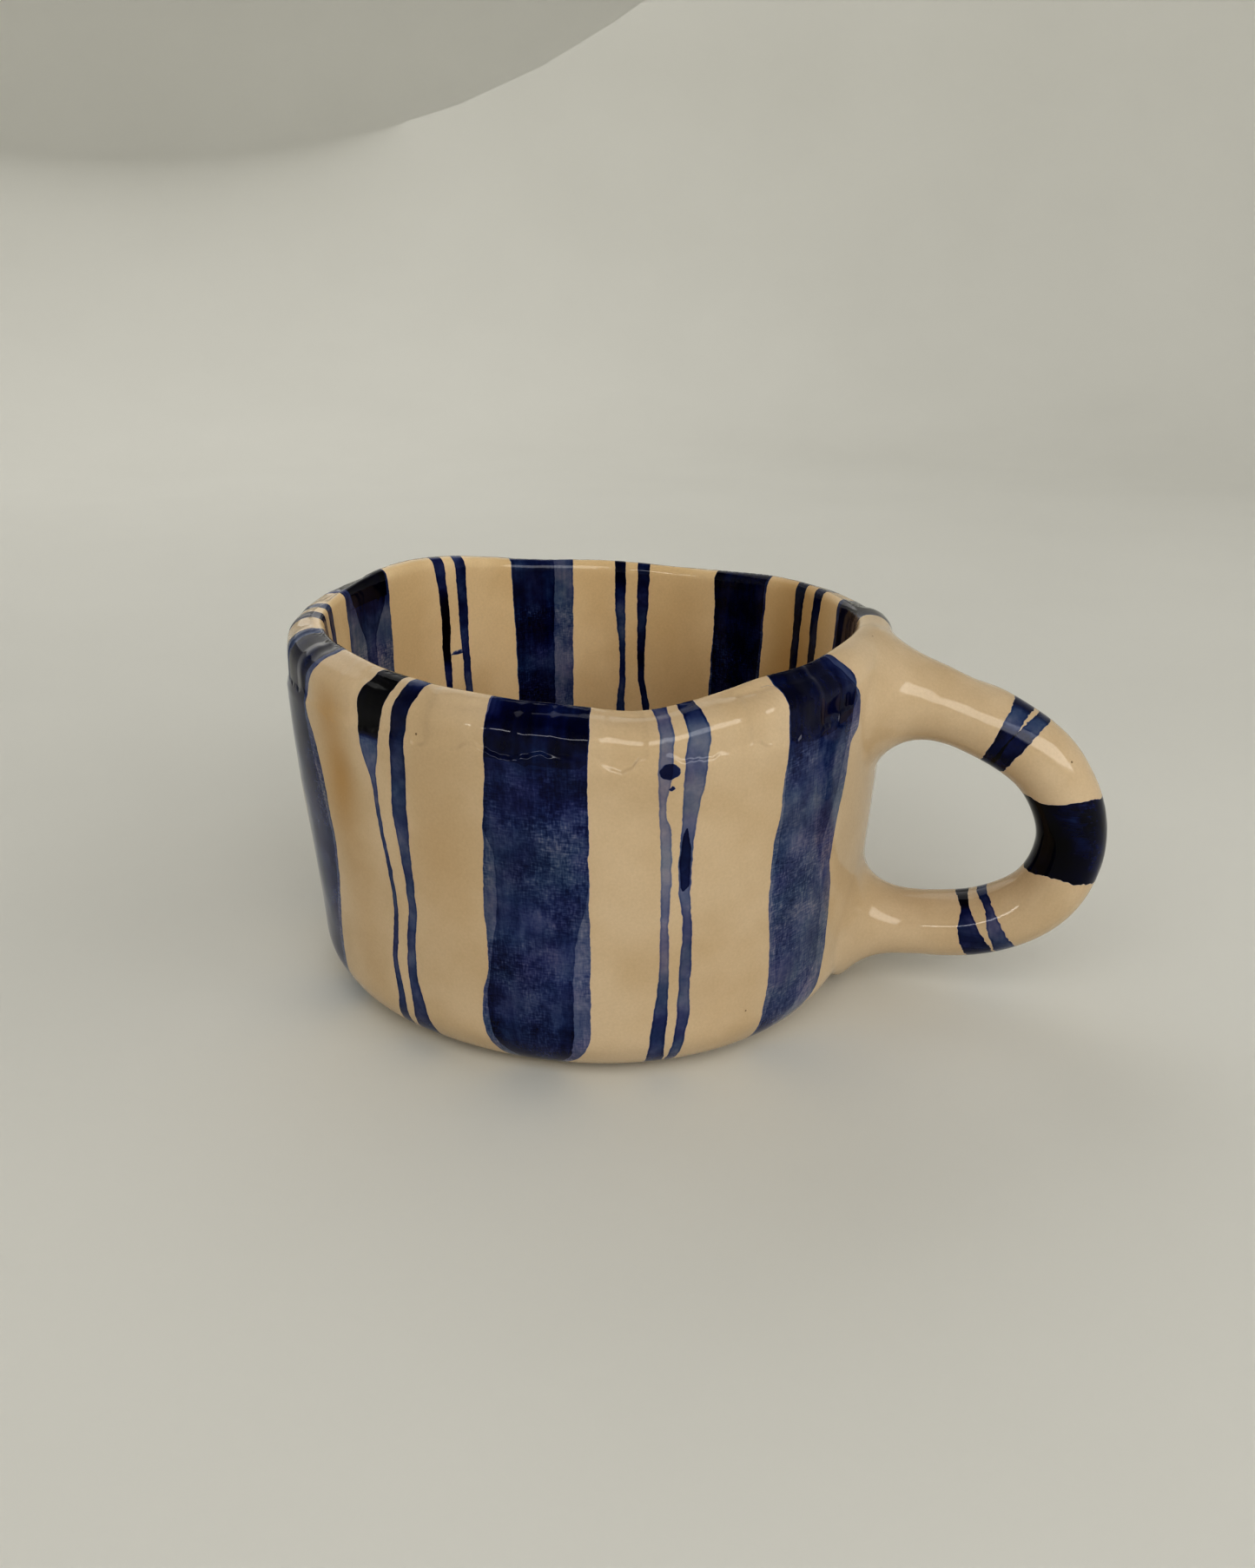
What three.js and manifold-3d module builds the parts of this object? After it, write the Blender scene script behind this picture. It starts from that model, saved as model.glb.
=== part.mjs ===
// A low, wide hand-built stoneware mug with a thick round coil handle.
//
// Millimetres, +Z up. The origin is the middle of the flat underside, and the handle points along +X.
// The clay pieces are the ones that a potter joins: a floor slab, a wall that stands on it, the coil of
// the handle, and the pad of clay that is smoothed round each end of the coil. Pieces that touch keep a
// clearance between them.

import * as THREE from 'three';
import { mergeVertices } from 'three/addons/utils/BufferGeometryUtils.js';
import Module from 'manifold-3d';

const wasm = await Module();
wasm.setup();

// Body
const RIM_RADIUS = 47.5;
const FOOT_RADIUS = 44.4;
const HEIGHT = 59.7;
const WALL_THICKNESS = 5.5;
const FLOOR_THICKNESS = 6;
const LIP_OUTER_ROUND = 4.5;
const LIP_INNER_ROUND = 2;
const FOOT_ROUND = 9;
const INSIDE_CORNER_ROUND = 5;
// How far round its quarter the inside corner goes, so that its toe on the floor isn't a knife edge
const INSIDE_CORNER_TURN = THREE.MathUtils.degToRad(80);

// How the body leaves a true circle and a level rim: each wave has a count of crests round the mug,
// a height in millimetres and the direction of one crest in degrees.
const RIM_OUTLINE_WAVES = [
  { crests: 2, height: 0.4, toward: 25 },
  { crests: 3, height: 0.9, toward: 70 },
  { crests: 4, height: 1.1, toward: 24 },
];
const FOOT_OUTLINE_WAVES = [
  { crests: 1, height: 1.4, toward: 193 },
  { crests: 3, height: 0.9, toward: 78 },
];
const RIM_LEVEL_WAVES = [
  { crests: 1, height: 1, toward: 184 },
  { crests: 2, height: 1.5, toward: 169 },
];

// Between the handle's ends the wall is drawn out a little, most at this height and direction.
const DRAWN_OUT = { by: 1.9, toward: -2, spread: 15, level: 20, reach: 13 };

// Handle: the middle line of the coil, in the XZ plane, from inside the wall at the top
// to inside the wall at the bottom
const HANDLE_LINE = [
  [42.5, 49.5],
  [51, 49.4],
  [63, 45.8],
  [71.9, 39.3],
  [76.2, 28.6],
  [73.2, 18.3],
  [64.8, 12.5],
  [54, 10.8],
  [38.5, 10.8],
];
const COIL_RADIUS = { top: 5.7, bend: 5.35, bottom: 5.25 };
const COIL_WIDTH_RATIO = 1.12;
const UPPER_PAD = { depthInWall: 3.7, reach: 12.5, rise: 5, spread: 7 };
const LOWER_PAD = { depthInWall: 4.8, reach: 11.5, rise: 4.8, spread: 6 };

const CLEARANCE = 0.3;

// Facets
const ROUND_SEGMENTS = 90;
const ARC_STEPS = 3;
const COIL_SIDES = 20;
const COIL_STEP = 2.6;

const CLAY = 0xc9b087;
const CLAY_ROUGHNESS = 0.2;

// Sum of a list of waves at an angle in radians
function waveSum(waves, angle) {
  const atAngle = ({ crests, height, toward }) => (
    height * Math.cos(crests * (angle - THREE.MathUtils.degToRad(toward)))
  );
  return waves.reduce((sum, wave) => sum + atAngle(wave), 0);
}

// Outer radius of the round body at a height, before the waves
function outerRadius(height) {
  return THREE.MathUtils.mapLinear(height, 0, HEIGHT, FOOT_RADIUS, RIM_RADIUS);
}

// How far the wall is drawn out behind the handle, at an angle in radians and a height
function drawnOut(angle, height) {
  const across = (THREE.MathUtils.radToDeg(angle) - DRAWN_OUT.toward) / DRAWN_OUT.spread;
  const up = (height - DRAWN_OUT.level) / DRAWN_OUT.reach;
  return DRAWN_OUT.by * Math.exp(-across * across - up * up);
}

// Turns a profile (radius, height) round the vertical axis, then pushes every point by the waves.
function turnBody(profile) {
  const geometry = new THREE.LatheGeometry(profile.getPoints(ARC_STEPS), ROUND_SEGMENTS);
  geometry.rotateX(Math.PI / 2);
  const points = geometry.attributes.position;
  for (let i = 0; i < points.count; i += 1) {
    const radius = Math.hypot(points.getX(i), points.getY(i));
    const angle = Math.atan2(points.getY(i), points.getX(i));
    const height = points.getZ(i);
    const upShare = height / HEIGHT;
    const waves = THREE.MathUtils.lerp(
      waveSum(FOOT_OUTLINE_WAVES, angle),
      waveSum(RIM_OUTLINE_WAVES, angle),
      upShare,
    );
    const outline = waves + drawnOut(angle, height);
    const aboveFloor = Math.max(0, (height - FLOOR_THICKNESS - CLEARANCE) / (HEIGHT - FLOOR_THICKNESS));
    const newRadius = radius * (1 + outline / outerRadius(height));
    points.setXYZ(
      i,
      newRadius * Math.cos(angle),
      newRadius * Math.sin(angle),
      height + aboveFloor * waveSum(RIM_LEVEL_WAVES, angle),
    );
  }
  return geometry;
}

// Radius of the flat underside
const flatRadius = outerRadius(FOOT_ROUND) - FOOT_ROUND;

// The rounded edge where the body turns under, from one height up to another
function addFootRound(profile, grow, fromHeight, toHeight) {
  const radius = FOOT_ROUND + grow;
  const angleAt = (height) => Math.asin((height - FOOT_ROUND) / radius);
  profile.absarc(flatRadius, FOOT_ROUND, radius, angleAt(fromHeight), angleAt(toHeight), false);
}

// Radius of the rim's highest line
const crestRadius = RIM_RADIUS - LIP_OUTER_ROUND;

// The outer quarter of the rounded rim
function addLipOuter(profile, grow) {
  const centreHeight = HEIGHT - LIP_OUTER_ROUND;
  profile.absarc(crestRadius, centreHeight, LIP_OUTER_ROUND + grow, 0, Math.PI / 2, false);
}

function floorSlab() {
  const profile = new THREE.Path();
  profile.moveTo(0, 0);
  profile.lineTo(flatRadius, 0);
  addFootRound(profile, 0, 0, FLOOR_THICKNESS);
  profile.lineTo(0, FLOOR_THICKNESS);
  return turnBody(profile);
}

function wall() {
  const bottom = FLOOR_THICKNESS + CLEARANCE;
  const insideCorner = outerRadius(bottom) - WALL_THICKNESS - INSIDE_CORNER_ROUND;
  const cornerTop = bottom + INSIDE_CORNER_ROUND;
  const profile = new THREE.Path();
  addFootRound(profile, 0, bottom, FOOT_ROUND);
  addLipOuter(profile, 0);
  profile.absarc(crestRadius, HEIGHT - LIP_INNER_ROUND, LIP_INNER_ROUND, Math.PI / 2, Math.PI, false);
  profile.absarc(insideCorner, cornerTop, INSIDE_CORNER_ROUND, 0, -INSIDE_CORNER_TURN, true);
  profile.lineTo(insideCorner, bottom);
  profile.closePath();
  return turnBody(profile);
}

// The body's outside as one solid, grown by the clearance, to trim the pads with
function grownBody() {
  const profile = new THREE.Path();
  profile.moveTo(0, -CLEARANCE);
  profile.lineTo(flatRadius, -CLEARANCE);
  addFootRound(profile, CLEARANCE, -CLEARANCE, FOOT_ROUND);
  addLipOuter(profile, CLEARANCE);
  profile.lineTo(0, HEIGHT + CLEARANCE);
  return turnBody(profile);
}

const handleLine = new THREE.CatmullRomCurve3(
  HANDLE_LINE.map(([x, z]) => new THREE.Vector3(x, 0, z)),
  false,
  'centripetal',
);
const handleLength = handleLine.getLength();

// 1 at the wall, falling in a quarter round to 0 at the pad's reach
function fillet(distance, reach) {
  const share = THREE.MathUtils.clamp(1 - distance / reach, 0, 1);
  return 1 - Math.sqrt(1 - share * share);
}

// Half thickness and half width of the coil and its pads, at a distance along the middle line
function coilSection(distance) {
  const along = distance / handleLength;
  const { lerp, smoothstep } = THREE.MathUtils;
  const towardBend = lerp(COIL_RADIUS.top, COIL_RADIUS.bend, smoothstep(along, 0, 0.5));
  const radius = lerp(towardBend, COIL_RADIUS.bottom, smoothstep(along, 0.5, 1));
  const upper = fillet(distance - UPPER_PAD.depthInWall, UPPER_PAD.reach);
  const lower = fillet(handleLength - distance - LOWER_PAD.depthInWall, LOWER_PAD.reach);
  return {
    thick: radius + upper * UPPER_PAD.rise + lower * LOWER_PAD.rise,
    wide: radius * COIL_WIDTH_RATIO + upper * UPPER_PAD.spread + lower * LOWER_PAD.spread,
  };
}

// A closed stretch of the handle between two distances along its middle line
function coilStretch(from, to) {
  const steps = Math.ceil((to - from) / COIL_STEP);
  const geometry = new THREE.CylinderGeometry(1, 1, 1, COIL_SIDES, steps);
  const across = new THREE.Vector3(0, 1, 0);
  const points = geometry.attributes.position;
  for (let i = 0; i < points.count; i += 1) {
    const distance = THREE.MathUtils.lerp(from, to, points.getY(i) + 0.5);
    const section = coilSection(distance);
    const forward = handleLine.getTangentAt(distance / handleLength);
    const outward = new THREE.Vector3().crossVectors(forward, across);
    const point = handleLine.getPointAt(distance / handleLength);
    point.addScaledVector(outward, points.getX(i) * section.thick);
    point.addScaledVector(across, points.getZ(i) * section.wide);
    points.setXYZ(i, point.x, point.y, point.z);
  }
  return geometry;
}

function toSolid(geometry) {
  geometry.deleteAttribute('normal');
  geometry.deleteAttribute('uv');
  const merged = mergeVertices(geometry, 1e-4);
  const corners = [];
  for (let i = 0; i < merged.index.count; i += 3) {
    const triangle = [0, 1, 2].map((corner) => merged.index.getX(i + corner));
    // A lathe leaves triangles with two corners on the axis, which the merge has joined into one
    if (new Set(triangle).size === 3) corners.push(...triangle);
  }
  return new wasm.Manifold(new wasm.Mesh({
    numProp: 3,
    vertProperties: new Float32Array(merged.attributes.position.array),
    triVerts: new Uint32Array(corners),
  }));
}

function toGeometry(solid) {
  const mesh = solid.getMesh();
  const geometry = new THREE.BufferGeometry();
  geometry.setAttribute('position', new THREE.BufferAttribute(mesh.vertProperties, 3));
  geometry.setIndex(new THREE.BufferAttribute(mesh.triVerts, 1));
  geometry.computeVertexNormals();
  return geometry;
}

// A pad of clay: the flared end of the handle, trimmed to the outside of the body
function handlePad(from, to) {
  return toGeometry(toSolid(coilStretch(from, to)).subtract(toSolid(grownBody())));
}

function addPiece(group, name, geometry) {
  const material = new THREE.MeshStandardMaterial({ color: CLAY, roughness: CLAY_ROUGHNESS, metalness: 0 });
  const mesh = new THREE.Mesh(geometry, material);
  mesh.name = name;
  group.add(mesh);
}

const upperPadEnd = UPPER_PAD.depthInWall + UPPER_PAD.reach;
const lowerPadStart = handleLength - LOWER_PAD.depthInWall - LOWER_PAD.reach;

const mug = new THREE.Group();
addPiece(mug, 'floor_slab', floorSlab());
addPiece(mug, 'wall', wall());
addPiece(mug, 'upper_handle_pad', handlePad(0, upperPadEnd));
addPiece(mug, 'handle_coil', coilStretch(upperPadEnd + CLEARANCE, lowerPadStart - CLEARANCE));
addPiece(mug, 'lower_handle_pad', handlePad(lowerPadStart, handleLength));

export default mug;
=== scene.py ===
import math

import bmesh
import bpy
import numpy as np
from mathutils import Matrix, Vector, noise
from mathutils.bvhtree import BVHTree
from mathutils.interpolate import poly_3d_calc


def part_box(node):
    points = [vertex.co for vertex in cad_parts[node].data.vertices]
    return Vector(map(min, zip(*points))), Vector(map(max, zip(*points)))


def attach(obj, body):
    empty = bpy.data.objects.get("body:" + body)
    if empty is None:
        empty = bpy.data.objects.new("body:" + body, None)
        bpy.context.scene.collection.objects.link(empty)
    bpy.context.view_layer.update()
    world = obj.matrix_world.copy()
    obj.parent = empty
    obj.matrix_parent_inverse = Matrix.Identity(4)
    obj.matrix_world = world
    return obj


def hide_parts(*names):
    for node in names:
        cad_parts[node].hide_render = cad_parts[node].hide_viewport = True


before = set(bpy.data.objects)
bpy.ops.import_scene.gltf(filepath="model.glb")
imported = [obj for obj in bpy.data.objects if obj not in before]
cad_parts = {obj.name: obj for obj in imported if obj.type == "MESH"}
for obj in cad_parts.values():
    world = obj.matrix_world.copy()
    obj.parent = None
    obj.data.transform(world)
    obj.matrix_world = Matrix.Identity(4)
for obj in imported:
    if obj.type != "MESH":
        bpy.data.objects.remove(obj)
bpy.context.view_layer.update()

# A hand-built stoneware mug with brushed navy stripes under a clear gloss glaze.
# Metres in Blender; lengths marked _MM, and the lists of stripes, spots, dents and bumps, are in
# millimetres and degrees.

MM = 0.001

# Camera: the viewing angle, and a normal lens
CAMERA_PLACE = (0.0543, -0.1894, 0.1108)
CAMERA_PITCH = math.radians(22.4)
CAMERA_TURN = math.radians(14.65)
CAMERA_LENS = 28.84

# Skin: one smooth clay surface over all the CAD pieces, cut apart again afterwards
HARD_EDGE = math.radians(40)
GROWTH = 0.2 * MM          # closes the clearance between the CAD pieces
VOXEL = 0.7 * MM
SMOOTHING_ROUNDS = 14
ROOT_ROUNDS = 70
ROOT_REACH_MM = 11.0       # how far round each end of the handle the clay is smoothed over
SHELL_GROWTH = 0.5 * MM    # the pads start this far outside the wall
ROOT_PLACES = ((0.0478, 0, 0.050), (0.0455, 0, 0.0125))    # where the handle's ends meet the wall
ROOT_STRETCH = (1.3, 0.72, 0.8)    # how much nearer or farther a root seems along X, Y and Z
WALL_RADII = (0.0425, 0.0442)    # between these the smoothing sets in, so that the inside keeps its shape
HANDLE_SPACE_SIZE = (0.046, 0.042, 0.070)
HANDLE_SPACE_PLACE = (0.066, 0, 0.033)

# Middle line of the handle in the XZ plane, as in the CAD, from the upper end to the lower end
HANDLE_LINE_MM = [
    (42.5, 49.5), (51.0, 49.4), (63.0, 45.8), (71.9, 39.3), (76.2, 28.6),
    (73.2, 18.3), (64.8, 12.5), (54.0, 10.8), (38.5, 10.8),
]
LINE_STEPS = 40
PAN_PROFILE_MM = [(0, -5), (60, -5), (60, 4.9), (30.5, 4.9), (30.5, 15), (0, 15)]    # radius, height
UPPER_PAD_LENGTH_MM = 16.2
LOWER_PAD_LENGTH_MM = 16.3
COIL_REACH_MM = 9.0        # nearer than this to the middle line, and outside the wall, is handle

MUG_RADIUS_MM = 46.0       # where an angle round the mug is turned into a length
NO_PAINT = -10.0           # a half width that never shows
STROKE_MARGIN_MM = 2.0     # farther than this from every stroke there is no paint
STROKE_END_INSIDE_MM = 11.0    # the stripes end inside about this far above the standing plane
STROKE_TAPER_MM = 1.5

# Stripes on the body. Each row of edges is (height, left edge, right edge), the edges as angles round
# the mug; each row of depth is (height, how thick the colour lies). A stripe goes over the rim and down
# the inside at the same angles. Strokes of one list never touch each other, so the second strokes of the
# pairs and the second, darker pass over the broad stripes are in a list of their own.
FIRST_STROKES = [
    {
        "edges": [(1, -146, -140), (3, -149, -135), (12, -152, -136), (30, -149, -133),
                  (46, -152, -136), (51, -154, -138), (56, -152, -136), (64, -149, -132)],
        "depth": [(0, 1.9), (30, 2.2), (64, 2.8)],
    },
    {
        "edges": [(2, -119, -115.6), (9, -117.3, -115.4), (15, -117.9, -116.6), (25, -116.2, -115.1),
                  (32, -117, -116), (38, -118, -117), (44, -119.2, -117.6), (49, -121.3, -116.6),
                  (55, -121.7, -115.2), (64, -116.4, -111.4)],
        "depth": [(0, 3.4), (30, 2.6), (46, 1.7), (50, 2.0), (51.5, 12), (64, 9)],
    },
    {
        "edges": [(1.2, -90, -84), (2.5, -94, -81), (6, -96.2, -77.2), (10, -97, -76), (16, -96, -76),
                  (19, -95, -76), (27, -95.2, -76), (42, -94.2, -76), (50, -93.2, -76),
                  (56, -93.4, -75.8), (58, -93.9, -75.6), (64, -93.6, -74.6)],
        "depth": [(0, 1.7), (30, 1.9), (52, 2.1), (64, 2.3)],
    },
    {
        "edges": [(2, -65.8, -62.2), (8, -65.2, -62.6), (12, -64.8, -62.3), (20, -64.1, -62.3),
                  (29, -64.1, -62.7), (36, -64.3, -62.4), (41, -64.4, -62.5), (46, -64.9, -63.8),
                  (50, -65.1, -62.9), (57, -64.7, -62.4), (59.5, -66.6, -62.3),
                  (64, -67.5, -62.3)],
        "depth": [(0, 3.8), (12, 2.6), (20, 1.4), (40, 0.9), (52, 1.1), (57, 1.6), (58, 3.0), (64, 3.2)],
    },
    {
        "edges": [(2, -43.5, -39), (5, -42.6, -28), (9, -42, -25), (15, -41.4, -23.7),
                  (24, -42.6, -24.4), (30, -43.2, -26), (36, -43.4, -25), (42, -42.3, -23),
                  (47, -42, -22.4), (50, -41.5, -19.5), (54, -41, -20), (58, -41.2, -24), (64, -44, -26)],
        "depth": [(0, 1.9), (20, 1.7), (36, 1.6), (50, 1.5), (54, 2.2), (64, 3.0)],
    },
    {"edges": [(2, 14, 28), (30, 13, 29), (64, 12, 29)], "depth": [(0, 3), (64, 4)]},
    {
        "edges": [(2, 46, 48), (30, 45.4, 48), (50, 45, 47.6), (64, 44.6, 48.4)],
        "depth": [(0, 5), (64, 5)],
    },
    {"edges": [(2, 60, 73), (30, 58.5, 74), (50, 58, 73.6), (64, 57, 74)], "depth": [(0, 3), (64, 4)]},
    {
        "edges": [(2, 98, 100.6), (28, 99, 101), (40, 98.6, 100.2), (50, 98.8, 101.4),
                  (64, 98.4, 101.6)],
        "depth": [(0, 3.4), (50, 3), (55, 6), (64, 7)],
    },
    {"edges": [(2, 114, 129), (30, 113.4, 129), (64, 112.6, 129.6)], "depth": [(0, 2.2), (64, 2.4)]},
    {
        "edges": [(2, 150.6, 152.2), (35, 150.2, 151.8), (44, 150, 152.6), (52, 149.6, 152.3),
                  (64, 150.6, 154)],
        "depth": [(0, 3), (42, 4), (45, 10), (54, 10), (57, 4), (64, 4)],
    },
    {
        "edges": [(2, 171, 184), (30, 170, 185), (64, 169, 186)],
        "depth": [(0, 1.7), (55, 1.8), (58, 3), (64, 4)],
    },
    {"edges": [(2, 201, 203), (30, 200, 202.6), (64, 199, 203)], "depth": [(0, 4), (64, 5)]},
]
SECOND_STROKES = [
    {
        "edges": [(3, -144, -137), (12, -147, -137.5), (30, -145, -134), (51, -148, -139),
                  (64, -147, -133)],
        "depth": [(0, 1.4), (45, 2.4), (57, 5), (64, 4)],
    },
    {
        "edges": [(2, -114.6, -109), (8, -113.4, -110), (15, -114, -111.9), (26, -112.3, -110.3),
                  (34, -113, -110.4), (40, -114, -110.4), (45, -113.5, -110.1), (50, -113.3, -109.9),
                  (56, -112.7, -109), (64, -107.9, -103.4)],
        "depth": [(0, 4), (12, 2.6), (30, 2.2), (40, 2.5), (47, 3.2), (52, 4.6), (57.5, 5.2),
                  (58.6, 2.4), (64, 2)],
    },
    {
        "edges": [(1.4, -90, -85), (3, -92, -82), (6, -94.6, -79.6), (12, -95.8, -79.2),
                  (19, -94.6, -79), (23, -94, -78.6), (27, -93, -77.8), (31, -92.6, -76.4),
                  (37, -92.6, -76),
                  (41, -94.2, -76), (50, -93.2, -76), (56, -93.4, -75.8), (64, -93.6, -75)],
        "depth": [(0, 3.6), (8, 3.8), (9.6, 3.9), (10.6, 2.5), (20, 1.7), (30, 1.2), (38, 1.1),
                  (44, 1.3), (48.6, 2.6), (56, 2.3), (64, 1.9)],
    },
    {
        "edges": [(2, -62, -60), (8, -60.9, -58.8), (12, -60.4, -58.1), (20, -60.3, -58.2),
                  (27, -60.1, -58.5), (33, -61.2, -59), (40, -61.2, -58.9), (46, -61, -58.1),
                  (52, -60.9, -57), (56, -60.2, -56.8), (59.5, -60.8, -57.8), (64, -61, -57.5)],
        "depth": [(0, 2.6), (20, 1.9), (32, 1.4), (44, 1.3), (54, 1.5), (56.4, 2.2), (57.4, 4.2),
                  (64, 4.4)],
    },
    {
        "edges": [(2.5, -42.5, -40), (7, -41.6, -33), (14, -39.6, -27), (22, -40.8, -27.5),
                  (25, -42.2, -28.4), (33, -42.4, -29.5), (40, -41.8, -26.4), (48, -41.6, -23.6),
                  (56, -41.2, -21.6), (64, -43.5, -26)],
        "depth": [(0, 1.2), (15, 0.6), (22, 0.4), (35, 0.8), (42, 1.0), (48, 1.2), (52, 2.4),
                  (57, 3.4), (64, 3.0)],
    },
    {"edges": [(2, 14, 26), (64, 11, 31)], "depth": [(0, 3), (64, 4)]},
    {"edges": [(2, 38.6, 40.4), (40, 38, 40.6), (64, 38, 41.4)], "depth": [(0, 5), (64, 5)]},
    {"edges": [(2, 60, 72), (30, 59.5, 73), (64, 58, 74)], "depth": [(0, 3.4), (64, 4)]},
    {
        "edges": [(2, 91, 93.4), (28, 91.6, 93.6), (38, 93.4, 95.2), (50, 92.6, 95.4), (64, 92, 95.6)],
        "depth": [(0, 5), (64, 5)],
    },
    {
        "edges": [(2, 117, 128.6), (30, 118.6, 129.2), (64, 117.6, 129.8)],
        "depth": [(0, 3), (20, 4.4), (40, 2.4), (50, 3.6), (57, 3), (59, 1), (64, 2)],
    },
    {
        "edges": [(2, 143.6, 145.6), (35, 143.6, 145.8), (44, 143.8, 146.2), (64, 143.6, 147)],
        "depth": [(0, 2.6), (45, 3.4), (56, 4.6), (64, 3)],
    },
    {
        "edges": [(2, 175, 178.6), (50, 175.4, 179), (57, 171, 182), (64, 169, 185)],
        "depth": [(0, 2), (50, 1.6), (57, 2.6), (64, 3)],
    },
    {"edges": [(2, 194, 196), (64, 193, 196)], "depth": [(0, 3), (64, 4)]},
]

# Short touches of thicker colour, over the strokes
TOUCHES = [
    {
        "edges": [(32.4, -60.4, -60.3), (33.4, -60.9, -59.3), (38, -61, -59.2), (41, -60.8, -59.7),
                  (42.4, -60.2, -60.1)],
        "depth": [(32, 2.8), (42, 2.8)],
    },
    {
        "edges": [(50.9, -86, -83), (51.4, -93.2, -76.2), (56, -93.3, -76), (60, -93.6, -75.2),
                  (64, -93.4, -76)],
        "depth": [(51, 1.5), (53.5, 1.9), (57, 1.4), (60, 0.4), (64, 0.3)],
    },
    {
        "edges": [(22.6, -40, -38), (24, -41.5, -34), (27, -41.8, -30.6), (31, -42, -29.8),
                  (36, -42, -31), (40, -40, -36)],
        "depth": [(22, 0.4), (30, 0.2), (38, 0.1)],
    },
    {
        "edges": [(50.6, -38, -30), (52, -40.8, -23), (54, -40.8, -21), (57, -41, -24), (59, -42, -30)],
        "depth": [(50, 0.8), (53, 1.4), (57, 1.0), (59, 0.2)],
    },
    {"edges": [(57.4, 170, 182), (58.4, 170, 183), (64, 169, 184)], "depth": [(57, 3), (64, 4)]},
]

# Bands round the handle. Each row of edges is (angle round the coil, start, end along the middle line);
# the angle is 0 on the coil's outer side and -90 on the side of the stripes' front.
FIRST_BANDS = [
    {
        "edges": [(-180, 22.2, 23.6), (-140, 21.5, 23.5), (-119, 21.2, 23.3), (-83, 20.9, 23.1),
                  (-50, 20.9, 23.2), (15, 21.2, 24), (100, 21.4, 23.8), (180, 22.2, 23.6)],
        "depth": [(-180, 7), (-72, 6.4), (-62, 2), (-30, 2.2), (-22, 4.2), (15, 4.4), (180, 7)],
    },
    {
        "edges": [(-180, 32.4, 52.2), (-140, 33.2, 50.9), (-120, 34.7, 49.7), (-94, 35.7, 48.9),
                  (-60, 36.8, 48.9), (0, 38.3, 48.5), (90, 36.4, 49.4), (180, 32.4, 52.2)],
        "depth": [(-180, 11), (-100, 11), (-84, 7.4), (30, 7), (100, 8), (180, 11)],
    },
    {
        "edges": [(-180, 66.8, 69.4), (-140, 66.7, 68.5), (-105, 65.8, 69.2), (-60, 64.9, 68.6),
                  (0, 65, 68.2), (90, 66, 69), (180, 66.8, 69.4)],
        "depth": [(-180, 9), (-150, 8), (-138, 3.4), (-112, 3.2), (-95, 4.8), (0, 5), (180, 9)],
    },
]
SECOND_BANDS = [
    {
        "edges": [(-180, 23.4, 25.4), (-140, 23, 25.7), (-113, 22.6, 25.3), (-83, 22.8, 25.3),
                  (-50, 23.6, 25.8), (15, 24.9, 26.7), (100, 24.3, 26.2), (180, 23.4, 25.4)],
        "depth": [(-180, 6), (-64, 6), (-56, 1.9), (-28, 2), (-18, 3.8), (15, 4), (180, 6)],
    },
    {
        "edges": [(-180, 62.9, 64.8), (-134, 62.4, 63.9), (-90, 62.1, 64.4), (-60, 61.8, 64.5),
                  (0, 62, 64.6), (180, 62.9, 64.8)],
        "depth": [(-180, 3), (-120, 2.7), (-90, 2.2), (-60, 2.8), (180, 3)],
    },
]

# Spots of colour: angle, height, half width, half height
BLOTS = [(-63.3, 50.75, 1.35, 1.08), (-62.9, 48.4, 0.45, 0.42)]
INSIDE_BLOTS = [(147.6, 44.3, 2.2, 0.42)]
# Soft brown stains where the glaze is thicker, on the outside: angle, height, half width, half height,
# strength
STAINS = [
    (-129, 43, 3.6, 9, 1.5), (-131, 53, 4, 4, 0.9), (-126, 24, 5, 16, 0.6), (-104, 34, 6, 16, 0.4),
    (-52, 14, 7, 9, 0.2),
]
# Painted shade inside: the same brown, in the same columns, on the inside wall where the light doesn't
# reach
INSIDE_PAINTED_SHADE = [(46, 36, 11, 34, 1.8), (82, 26, 12, 26, 0.6)]
# Dents pressed in by fingers, and bulges where the depth is negative: angle, height, radius, depth
DENTS = [
    (-128, 43, 8, 0.5), (-68, 44, 6, 0.3), (-35, 28, 9, 0.35), (-86, 30, 14, 0.3), (-55, 12, 7, 0.25),
    (-152, 38, 20, -0.5), (150, 30, 16, 0.5), (95, 22, 12, 0.4), (60, 40, 14, -0.4),
    (-66, 60, 9, 0.7), (-46, 60, 9, 0.7),
]
# Where the rim stands higher, or lower where the height is negative: angle, half width in degrees, height
RIM_RISES = [
    (155, 18, 0.7), (124, 14, -0.6), (52, 20, 0.9), (-97, 7, 0.25), (-68, 9, -0.7), (-44, 9, 0.7),
]
# The thumb's edge under the rim: a little step inwards, and a lean inwards that grows above it
RIM_LEDGE = {"height": 52.0, "step": 0.35, "half_width": 0.8, "lean": 0.55}
# Unevenness left by the hands: size of the bumps, their height, seed of the noise
HAND_BUMPS = [(26, 0.30, 3), (11, 0.15, 7), (5, 0.035, 11)]

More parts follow.
